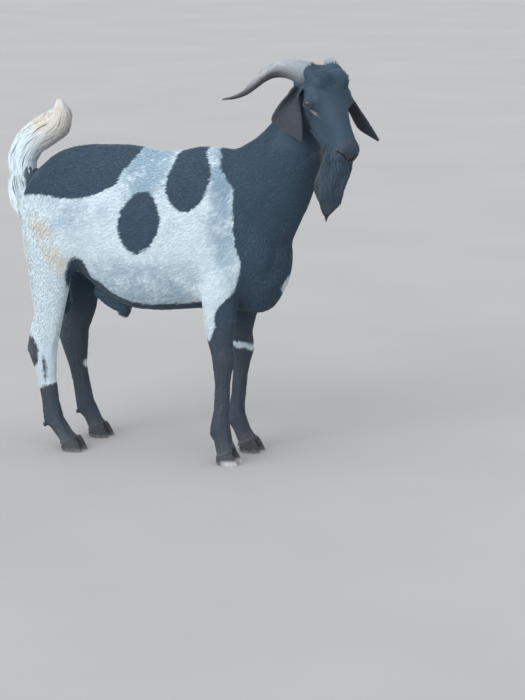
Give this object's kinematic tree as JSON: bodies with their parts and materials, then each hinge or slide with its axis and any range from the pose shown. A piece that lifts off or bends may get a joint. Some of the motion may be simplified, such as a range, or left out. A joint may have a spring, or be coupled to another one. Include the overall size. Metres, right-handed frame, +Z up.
{
  "type": "goat figure",
  "caption": "Life-size standing goat: a short-coated, lop-eared buck with swept-back horns, a beard and a raised tail, looking round to its right.",
  "frame": {"origin": "middle of the bounding box, on the floor that the hooves stand on", "axes": "+X from the tail towards the chest, +Y the animal's left, +Z up; the head looks round towards -Y"},
  "size_m": [0.9612, 0.34, 0.9715],
  "materials": {
    "coat_white": "short white hair, ticked with grey",
    "coat_black": "short glossy black hair",
    "coat_brown": "very short reddish-brown hair",
    "horn": "ringed grey horn, worn smooth on top",
    "hoof": "dark grey hoof horn, dusty at the sole",
    "eye": "wet, with a level slit pupil"
  },
  "bodies": {
    "root": {"beard": "coat_black", "ear_left": "coat_brown", "ear_right": "coat_brown", "eye_left": "eye", "eye_right": "eye", "forearm_left": "coat_black", "forearm_right": "coat_black", "forefoot_left": "coat_black", "forefoot_right": "coat_black", "head": "coat_black", "hindfoot_left": "coat_black", "hindfoot_right": "coat_black", "hoof_fore_left_inner": "hoof", "hoof_fore_left_outer": "hoof", "hoof_fore_right_inner": "hoof", "hoof_fore_right_outer": "hoof", "hoof_hind_left_inner": "hoof", "hoof_hind_left_outer": "hoof", "hoof_hind_right_inner": "hoof", "hoof_hind_right_outer": "hoof", "horn_left": "horn", "horn_right": "horn", "neck": "coat_black", "tail": "coat_white", "thigh_left": "coat_black", "thigh_right": "coat_white", "trunk": "coat_white"}
  },
  "joints": []
}
